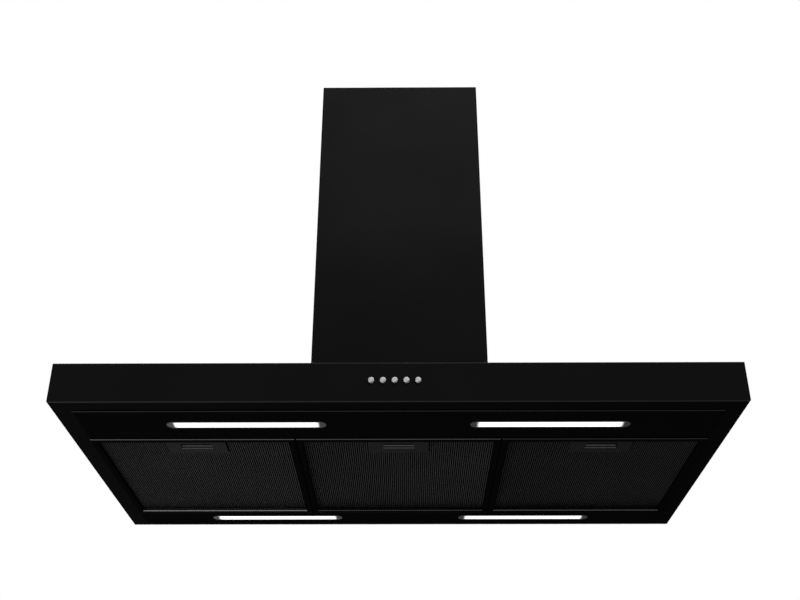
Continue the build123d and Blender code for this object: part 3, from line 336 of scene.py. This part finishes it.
# fine lines along one axis: noise stretched along it
def buildBrush(tree, source):
    thin = vectorMaths(tree, "MULTIPLY", objectPlace(tree), source["Stretch"])
    noise = addNode(tree, "ShaderNodeTexNoise", {"Vector": thin, "Scale": 1.0, "Detail": 3.0})
    bump = addNode(tree, "ShaderNodeBump",
                   {"Height": noise.outputs["Fac"], "Strength": patterns["brushStrength"],
                    "Distance": patterns["brushDepth"]})
    return [noise.outputs["Fac"], bump.outputs["Normal"]]


# grease and dust that settle on what faces up, in soft patches
def buildDust(tree, source):
    up = axesOf(tree, addNode(tree, "ShaderNodeNewGeometry").outputs["Normal"])["Z"]
    patch = addNode(tree, "ShaderNodeTexNoise",
                    {"Vector": objectPlace(tree), "Scale": patterns["dustScale"], "Detail": 4.0})
    cover = maths(tree, "MULTIPLY", smoothRamp(tree, up, *patterns["dustSlope"]),
                  smoothRamp(tree, patch.outputs["Fac"], *patterns["dustPatch"]))
    return [maths(tree, "MULTIPLY", cover, source["Amount"])]


number, colour, vector = "NodeSocketFloat", "NodeSocketColor", "NodeSocketVector"
boxInputs = [("Low", vector, (0, 0, 0)), ("High", vector, (1, 1, 1))]
foldGroup = makeGroup("foldLine", boxInputs + [("Width", number, 0.002)],
                      [("Mask", number)], buildFold)
insideGroup = makeGroup("insideBox", boxInputs + [("Softness", number, 0.0003)],
                        [("Mask", number)], buildInside)
driftGroup = makeGroup("colourDrift",
                       [("Colour", colour, (1, 1, 1, 1)), ("Amount", number, 0.2), ("Scale", number, 9.0)],
                       [("Colour", colour), ("Grain", number)], buildDrift)
peelGroup = makeGroup("orangePeel", [("Scale", number, 900.0), ("Strength", number, 0.1)],
                      [("Normal", vector)], buildPeel)
spangleGroup = makeGroup("zincSpangle", [("Scale", number, 90.0)], [("Shade", number)], buildSpangle)
brushGroup = makeGroup("brushedLines", [("Stretch", vector, (40, 2500, 2500))],
                       [("Shade", number), ("Normal", vector)], buildBrush)
dustGroup = makeGroup("settledDust", [("Amount", number, 0.3)], [("Mask", number)], buildDust)
print("node groups made")


# a material and its Principled shader, with plain numbers set on the shader's own sockets
def newMaterial(name, **constants):
    material = bpy.data.materials.new(name)
    material.use_nodes = True
    shader = material.node_tree.nodes["Principled BSDF"]
    for label, value in constants.items():
        shader.inputs[label.replace("_", " ")].default_value = value
    return material, material.node_tree, shader


# gives CAD nodes a material, in every slot that they have
def paint(material, *names):
    for name in names:
        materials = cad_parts[name].data.materials
        if not materials:
            materials.append(material)
        for i in range(len(materials)):
            materials[i] = material


blackCoat = {
    "tint": (1.0, 1.0, 1.06),
    "drift": 0.35,
    "roughness": 0.45,
    "grainRoughness": 0.2,
    "coatRoughness": 0.24,
    "foldGloss": 0.5,  # clear-coat weight along the folds, which are smooth and well rubbed
    "peel": 0.10,
}


# a mix of two colours by a factor; each is a socket or a plain colour
def mixColours(tree, factor, first, second):
    mix = addNode(tree, "ShaderNodeMix", {"Factor": factor}, data_type="RGBA")
    feed(tree, mix.inputs["A"], first)
    feed(tree, mix.inputs["B"], second)
    return mix.outputs["Result"]


# satin black powder coat on folded sheet. The faces' gloss is faceGloss times the grain plus a half of it;
# makeShine gives the gloss, from 0 to 1, of the glossiest places, and the last argument a mask of the places
# whose colour is painted near-black as shade
def blackPaint(name, shade, faceGloss, makeShine=None, coatIor=1.5, makeShade=None):
    material, tree, shader = newMaterial(name, Specular_IOR_Level=0.0, Coat_IOR=coatIor,
                                         Coat_Roughness=blackCoat["coatRoughness"])
    tint = (*[shade * part for part in blackCoat["tint"]], 1)
    drift = useGroup(tree, driftGroup, Colour=tint, Amount=blackCoat["drift"])
    base = drift["Colour"]
    # painted shade: where the mask is, the colour turns near-black
    if makeShade:
        base = mixColours(tree, makeShade(tree), base, scoop["cupShade"])
    feed(tree, shader.inputs["Base Color"], base)
    uneven = maths(tree, "MULTIPLY_ADD", drift["Grain"], blackCoat["grainRoughness"], blackCoat["roughness"])
    feed(tree, shader.inputs["Roughness"], uneven)
    face = maths(tree, "MULTIPLY_ADD", drift["Grain"], faceGloss, faceGloss / 2)
    if makeShine:
        face = maths(tree, "MAXIMUM", makeShine(tree), face)
    feed(tree, shader.inputs["Coat Weight"], face)
    feed(tree, shader.inputs["Normal"], useGroup(tree, peelGroup, Strength=blackCoat["peel"])["Normal"])
    return material


# a gloss along the folds of a sheet's box
def foldShine(node, width):
    low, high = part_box(node)
    return lambda tree: maths(tree, "MULTIPLY", blackCoat["foldGloss"],
                              useGroup(tree, foldGroup, Low=low, High=high, Width=width)["Mask"])


zinc = {
    "dark": (0.33, 0.345, 0.36, 1),
    "light": (0.60, 0.62, 0.64, 1),
    "metallic": 0.9,
    "roughness": 0.30,
    "facetRoughness": 0.22,  # added by a facet's shade
    "dust": (0.30, 0.28, 0.25, 1),
    "dustAmount": 0.25,
    "dustRoughness": 0.4,
    "peelScale": 300.0,
    "peel": 0.15,
}


# galvanised sheet: facets between a dark and a light zinc, dulled by the dust on what faces up
def zincSheet(name):
    material, tree, shader = newMaterial(name, Metallic=zinc["metallic"])
    shade = useGroup(tree, spangleGroup)["Shade"]
    dust = useGroup(tree, dustGroup, Amount=zinc["dustAmount"])["Mask"]
    metal = mixColours(tree, shade, zinc["dark"], zinc["light"])
    feed(tree, shader.inputs["Base Color"], mixColours(tree, dust, metal, zinc["dust"]))
    roughness = maths(tree, "MULTIPLY_ADD", shade, zinc["facetRoughness"], zinc["roughness"])
    dulled = maths(tree, "MULTIPLY_ADD", dust, zinc["dustRoughness"], roughness)
    feed(tree, shader.inputs["Roughness"], dulled)
    peel = useGroup(tree, peelGroup, Scale=zinc["peelScale"], Strength=zinc["peel"])
    feed(tree, shader.inputs["Normal"], peel["Normal"])
    return material


brushing = {
    "alongX": (40, 2500, 2500),  # noise cells to the metre on each axis
    "alongY": (2500, 40, 2500),
    "drift": 0.2,
    "roughnessSpread": 0.2,
}


# the roughness is spread evenly about its middle by the brushed lines
def brushedMetal(name, tint, roughness, stretch=brushing["alongX"], metallic=1.0):
    material, tree, shader = newMaterial(name, Metallic=metallic)
    lines = useGroup(tree, brushGroup, Stretch=stretch)
    drift = useGroup(tree, driftGroup, Colour=(*tint, 1), Amount=brushing["drift"])
    feed(tree, shader.inputs["Base Color"], drift["Colour"])
    spread = brushing["roughnessSpread"]
    uneven = maths(tree, "MULTIPLY_ADD", lines["Shade"], spread, roughness - spread / 2)
    feed(tree, shader.inputs["Roughness"], uneven)
    feed(tree, shader.inputs["Normal"], lines["Normal"])
    return material


mouldGrain = {
    "scale": 1400.0,
    "depth": 0.2,
    "drift": 0.15,
    "roughnessSpread": 0.15,
    "roughnessDrop": 0.07,
}


# moulded plastic, rubber or board: a tint with a fine grain, and an uneven roughness
def moulding(name, tint, roughness):
    material, tree, shader = newMaterial(name)
    drift = useGroup(tree, driftGroup, Colour=(*tint, 1), Amount=mouldGrain["drift"])
    feed(tree, shader.inputs["Base Color"], drift["Colour"])
    lowest = roughness - mouldGrain["roughnessDrop"]
    uneven = maths(tree, "MULTIPLY_ADD", drift["Grain"], mouldGrain["roughnessSpread"], lowest)
    feed(tree, shader.inputs["Roughness"], uneven)
    peel = useGroup(tree, peelGroup, Scale=mouldGrain["scale"], Strength=mouldGrain["depth"])
    feed(tree, shader.inputs["Normal"], peel["Normal"])
    return material


lampCover = {
    "litLength": 0.184,  # that the row of LEDs lights evenly
    "litWidth": 0.0128,
    "fade": 0.0022,  # beyond it across the cover, where the light falls off
    "endFade": 0.0066,  # and along it
    "boardLength": 0.200,  # of the LED board behind each cover
    "boardWidth": 0.012,
    "lit": (0.98, 0.99, 1.0, 1),
    "unlit": (0.004, 0.004, 0.004, 1),
    "strength": 1.1,
    "opal": (0.80, 0.81, 0.83, 1),
    "opalDrift": 0.03,
    "shadedCover": (0.012, 0.012, 0.013, 1),
    "roughness": 0.35,
    "shine": 0.12,
}


# opal cover: white over the row of LEDs and dark round it, the dark being painted shade where their light
# doesn't reach. The four lamps stand evenly about X = 0 and about the middle of their box, so a point's
# distance from the nearest lamp's middle is taken on each axis
def lampGlow(name):
    material, tree, shader = newMaterial(name, Roughness=lampCover["roughness"],
                                         Specular_IOR_Level=lampCover["shine"],
                                         Emission_Strength=lampCover["strength"])
    low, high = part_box("lamp_lenses")
    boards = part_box("led_boards")[0]
    reachX = -boards[0] - lampCover["boardLength"] / 2
    middleY = (low[1] + high[1]) / 2
    reachY = middleY - boards[1] - lampCover["boardWidth"] / 2
    place = axesOf(tree, objectPlace(tree))

    def distance(axis, centre, reach):  # from the nearer of two lines at centre - reach and centre + reach
        away = maths(tree, "ABSOLUTE", maths(tree, "SUBTRACT", place[axis], centre))
        return maths(tree, "ABSOLUTE", maths(tree, "SUBTRACT", away, reach))

    litX, litY = lampCover["litLength"] / 2, lampCover["litWidth"] / 2
    along = smoothRamp(tree, distance("X", 0.0, reachX), litX + lampCover["endFade"], litX)
    across = smoothRamp(tree, distance("Y", middleY, reachY), litY + lampCover["fade"], litY)
    lit = maths(tree, "MULTIPLY", along, across)
    drift = useGroup(tree, driftGroup, Colour=lampCover["opal"], Amount=lampCover["opalDrift"])
    # painted shade: the cover's colour is dark away from the lit band
    feed(tree, shader.inputs["Base Color"], mixColours(tree, lit, lampCover["shadedCover"], drift["Colour"]))
    feed(tree, shader.inputs["Emission Color"], mixColours(tree, lit, lampCover["unlit"], lampCover["lit"]))
    return material


sides = ("left", "centre", "right")
buttons = [f"button_{i}" for i in range(1, 6)]
buttonSprings = [f"button_spring_{i}" for i in range(1, 6)]
latchSprings = [f"latch_spring_{side}" for side in sides]

blackSheets = {  # shade, gloss of the faces, width of the glossy folds
    "canopy_shell": (0.0055, 0.02, 0.0020),
    # the rim and the lamp panels face down and have a third of the fascia's shade: painted shade on the
    # underside
    "canopy_rim": (0.0018, 0.010, 0.0),
    "chimney_lower": (0.0062, 0.02, 0.0),
    "chimney_upper": (0.0062, 0.02, 0.0),
    "front_lamp_panel": (0.0018, 0.0, 0.0016),
    "rear_lamp_panel": (0.0018, 0.0, 0.0),
}

filterCoat = {
    "frameShade": 0.0018,
    "frameFold": 0.0016,  # width of a frame's glossy folds
    "ior": 2.2,
    # gloss of a frame's folds, and of the wall behind its window, for each side; falling from left to right,
    # it is painted sheen standing in for the light from the left
    "sideSheen": {"left": (0.60, 1.0), "centre": (0.46, 0.20), "right": (0.22, 0.40)},
    "latchShade": 0.0082,
    "latchGloss": 0.05,
    "sideBorder": 0.0085,  # from the frame's side to its window
    "endBorder": 0.011,
    "tabReach": 0.009,  # of the tabs behind the frame
    "wallGlow": 0.0012,  # how far round the window's rear wall the gloss reaches
}


# the folds along the frame's ends, and the wall behind the window
def frameShine(side):
    low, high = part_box(f"filter_frame_{side}")
    foldGloss, wallGloss = filterCoat["sideSheen"][side]
    rear = high[1] - filterCoat["tabReach"]
    wallY = rear - filterCoat["endBorder"]

    def build(tree):
        foldHigh = (high[0], rear, high[2])
        fold = useGroup(tree, foldGroup, Low=low, High=foldHigh, Width=filterCoat["frameFold"])["Mask"]
        folds = maths(tree, "MULTIPLY", fold, foldGloss)
        wallLow = (low[0] + filterCoat["sideBorder"], wallY - filterCoat["wallGlow"], low[2])
        wallHigh = (high[0] - filterCoat["sideBorder"], wallY + filterCoat["wallGlow"], high[2])
        wall = useGroup(tree, insideGroup, Low=wallLow, High=wallHigh)["Mask"]
        return maths(tree, "MAXIMUM", folds, maths(tree, "MULTIPLY", wall, wallGloss))

    return build


scoop = {
    "bands": ((0.0001, 0.0008), (0.0026, 0.0035)),  # heights of the two rubbed lips above the plate's face
    "edge": 0.0003,  # over which a lip or the soot fades
    "lipGloss": 1.0,
    "shadeHeight": 0.0040,  # above it the cup is painted near-black: painted shade in the cup's recess
    "cupShade": (0.0012, 0.0012, 0.0012, 1),
}


# the latch: the plate's satin black, two glossy lips on the cup's sloping wall, and painted shade above them
def latchPaint(node):
    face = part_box(node)[0][2]

    def heightIn(tree):
        return maths(tree, "SUBTRACT", axesOf(tree, objectPlace(tree))["Z"], face)

    def shine(tree):
        height = heightIn(tree)
        lips = [maths(tree, "MULTIPLY", smoothRamp(tree, height, start, start + scoop["edge"]),
                      smoothRamp(tree, height, end + scoop["edge"], end)) for start, end in scoop["bands"]]
        return maths(tree, "MULTIPLY", maths(tree, "ADD", *lips), scoop["lipGloss"])

    # painted shade: the cup's wall above the lips is darkened
    def cupShade(tree):
        return smoothRamp(tree, heightIn(tree), scoop["shadeHeight"] - scoop["edge"], scoop["shadeHeight"])

    shade, gloss = filterCoat["latchShade"], filterCoat["latchGloss"]
    return blackPaint(node + "Paint", shade, gloss, shine, makeShade=cupShade)


zincNodes = ("back_panel", "blower_box", "blower_box_rear", "blower_box_top", "chimney_bracket",
             "switch_bracket", "motor_bracket")
# tint, roughness, and the nodes that have them
mouldings = {
    "greyMoulding": ((0.16, 0.17, 0.18), 0.5, ("scroll_left", "scroll_right", "impeller")),
    "blackMoulding": ((0.018, 0.018, 0.02), 0.5,
                      ("outlet_collar", "collar_flange", "flap_seat", "flap_left", "flap_right",
                       "control_box", "control_lid", "cable_gland", "switch_body", "lamp_cases")),
    "whiteMoulding": ((0.72, 0.72, 0.69), 0.4, ("capacitor", "lamp_driver", "terminal_block")),
    "motorCase": ((0.20, 0.205, 0.21), 0.35, ("motor",)),
    "blackRubber": ((0.02, 0.02, 0.02), 0.8, ("motor_grommets",)),
    "circuitBoard": ((0.05, 0.22, 0.09), 0.35, ("control_board",)),
    "ledBoard": ((0.75, 0.76, 0.73), 0.4, ("led_boards",)),
    "leadSheath": ((0.42, 0.43, 0.44), 0.45, ("wiring",)),
}
# tint, roughness, direction of the lines, metallic share and nodes
metals = {
    "zincPlate": ((0.62, 0.61, 0.57), 0.35, "alongX", 1.0, ("body_screws", "bracket_screws")),
    "brightSteel": ((0.68, 0.68, 0.68), 0.25, "alongX", 1.0, ("motor_shaft",)),
    "silverButton": ((0.38, 0.38, 0.385), 0.5, "alongY", 0.6, buttons),
}


# a material for each CAD node, apart from those that the filter packs and the springs replace
def paintAll():
    for name, (shade, gloss, fold) in blackSheets.items():
        paint(blackPaint(name + "Paint", shade, gloss, foldShine(name, fold) if fold else None), name)
    for side in sides:
        coat = blackPaint(f"filterFrame{side}", filterCoat["frameShade"], 0.0, frameShine(side),
                          coatIor=filterCoat["ior"])
        paint(coat, f"filter_frame_{side}")
        paint(latchPaint(f"filter_latch_{side}"), f"filter_latch_{side}")
    paint(zincSheet("galvanised"), *zincNodes)
    for name, (tint, roughness, nodes) in mouldings.items():
        paint(moulding(name, tint, roughness), *nodes)
    for name, (tint, roughness, lines, metallic, nodes) in metals.items():
        paint(brushedMetal(name, tint, roughness, brushing[lines], metallic), *nodes)
    paint(lampGlow("lampCover"), "lamp_lenses")


filterPack = {
    "pitch": 0.0030,  # between two ribs
    "ribWidth": 0.0017,
    "ribHeight": 0.0009,
    "ribRows": 13,  # points along a rib
    "ribColumns": 5,  # and across it
    "sway": 0.00012,  # how far a rib wanders sideways
    "waves": ((0.071, 900, 1.0), (0.043, -1700, 0.6)),  # length, turn for each metre of X, share
    "coreInset": 0.0001,  # from the tips of the ribs to the node's faces
    "coreCells": 91,
    "coreWave": (0.00015, 0.009, 0.011),  # height, and length along X and along Y
    "litAndShadedCoats": {"left": (0.0092, 0.20), "centre": (0.0078, 0.17), "right": (0.0050, 0.12)},  # shade and gloss, lighter on the left and darker on the right: painted light falling from the left
    # the dark sheet is painted shade in the gaps of the mesh
    "sheetShade": 0.0020,
    "cupHalf": 0.024,  # half of the gap round the finger cup
}


# ribs along Y: across a rib the height is a half ellipse, and along it the middle wanders by two sines
def ribs(middles, startY, endY, height, face):
    half, rows, columns = filterPack["ribWidth"] / 2, filterPack["ribRows"], filterPack["ribColumns"]
    along, across = np.linspace(startY, endY, rows), np.linspace(0, pi, columns)
    x, y, turn = np.meshgrid(middles, along, across, indexing="ij")
    wander = sum(share * np.sin(y * 2 * pi / length + x * shift)
                 for length, shift, share in filterPack["waves"])
    z = height - face * filterPack["ribHeight"] * np.sin(turn)
    points = np.stack([x - half * np.cos(turn) + filterPack["sway"] * wander, y, z], axis=-1).reshape(-1, 3)
    strip = gridFaces(rows, columns)
    if face < 0:
        strip = strip[:, ::-1]
    starts = np.arange(len(middles)) * rows * columns
    return points, (strip[None] + starts[:, None, None]).reshape(-1, 4)


# several point and face arrays as one pair, with each face list moved on by the points before it
def joined(parts):
    counts = np.cumsum([0] + [len(points) for points, _ in parts])
    points = np.concatenate([points for points, _ in parts])
    return points, np.concatenate([quads + start for (_, quads), start in zip(parts, counts)])


# one layer of ribs: full length, shorter behind the finger cup, and shorter beside the plate's right end,
# where the bared dark sheet is a painted shadow of the plate's edge
def ribLayer(low, high, height, face, cupRear, plate):
    pitch = filterPack["pitch"]
    cupX = (low[0] + high[0]) / 2
    count = int((high[0] - low[0] - filterPack["ribWidth"]) / pitch) + 1
    middles = cupX + (np.arange(count) - (count - 1) / 2) * pitch
    inCup = np.abs(middles - cupX) <= filterPack["cupHalf"] + filterPack["ribWidth"] / 2
    # painted shadow: the ribs just right of the plate's right end start behind the plate
    past = middles - plate[1][0] + filterPack["ribWidth"] / 2
    plateShadow = (past > 0) & (past < pitch)
    parts = [ribs(middles[~inCup & ~plateShadow], low[1], high[1], height, face),
             ribs(middles[inCup], cupRear, high[1], height, face),
             ribs(middles[plateShadow], plate[1][1], high[1], height, face)]
    return joined(parts)


# the sheet between the ribs, dark as painted shade for what is seen through the mesh's gaps: a gentle
# egg-box of two sines, left open round the finger cup
def coreSheet(low, high, height, cupRear, downwards):
    cells = filterPack["coreCells"]
    waveHeight, lengthX, lengthY = filterPack["coreWave"]
    x, y = np.meshgrid(np.linspace(low[0], high[0], cells), np.linspace(low[1], high[1], cells),
                       indexing="ij")
    z = height + waveHeight * np.sin(x * 2 * pi / lengthX) * np.sin(y * 2 * pi / lengthY)
    points = np.stack([x, y, z], axis=-1).reshape(-1, 3)
    quads = gridFaces(cells, cells)
    if downwards:
        quads = quads[:, ::-1]
    middle = points[quads].mean(axis=1)
    fromCup = np.abs(middle[:, 0] - (low[0] + high[0]) / 2)
    keep = (fromCup > filterPack["cupHalf"]) | (middle[:, 1] > cupRear)
    return points, quads[keep]


# each pack: ribs below, ribs above, and a dark sheet under each row of ribs, which is painted shade in the
# mesh's gaps
def makeFilterPacks():
    dark = blackPaint("filterGapShade", filterPack["sheetShade"], 0.0)
    for side in sides:
        # painted light: each side's copy of the mesh coat is lit or shaded by its own shade and gloss
        coat = blackPaint(f"filterMeshCoat{side}", *filterPack["litAndShadedCoats"][side])
        node = f"filter_mesh_{side}"
        low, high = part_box(node)
        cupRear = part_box(f"latch_spring_{side}")[1][1]
        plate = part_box(f"filter_latch_{side}")
        lower = low[2] + filterPack["ribHeight"] + filterPack["coreInset"]
        upper = high[2] - filterPack["ribHeight"] - filterPack["coreInset"]
        packs = []
        for name, height, face in ((f"mesh_front_{side}", lower, 1), (f"mesh_back_{side}", upper, -1)):
            packs.append(meshPiece(name, *ribLayer(low, high, height, face, cupRear, plate), coat))
        sheets = [coreSheet(low, high, lower, cupRear, True), coreSheet(low, high, upper, cupRear, False)]
        packs.append(meshPiece(f"mesh_sheets_{side}", *joined(sheets), dark))
        for piece in packs:
            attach(piece, f"filter_{side}")
        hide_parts(node)


springSetup = {
    "latchKeep": 0.34,  # length when the latch is fully back, over its length at rest
    "buttonKeep": 2.5 / 5.0,  # the same for a button that is pressed in
    "weld": 0.000001,  # points nearer than this become one
}


# a spring of the same wire as its CAD node, carried by the body of its joint
def makeSpring(node, body, material):
    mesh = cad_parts[node].data.copy()
    shell = bmesh.new()
    shell.from_mesh(mesh)
    bmesh.ops.remove_doubles(shell, verts=shell.verts, dist=springSetup["weld"])
    shell.to_mesh(mesh)
    shell.free()
    mesh.materials.clear()
    mesh.materials.append(material)
    piece = bpy.data.objects.new(f"{node}_wire", mesh)
    bpy.context.scene.collection.objects.link(piece)
    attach(piece, body)
    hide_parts(node)
    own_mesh(piece)


def makeSprings():
    steel = brushedMetal("springSteel", *metals["brightSteel"][:2])
    for node, side in zip(latchSprings, sides):
        makeSpring(node, f"filter_{side}", steel)
    for node, button in zip(buttonSprings, buttons):
        makeSpring(node, "hood", steel)


makeCamera(cameraSetup)
makeWorld(studio)
makeFloor(studio)
for lightName, lightSetup in studioLights.items():
    makeLight(lightName, *lightSetup)
print("camera, floor and light placed")

paintAll()
print("materials assigned")

makeFilterPacks()
print("filter packs made")

makeSprings()
print("springs made")

bpy.context.scene.view_settings.view_transform = "Standard"
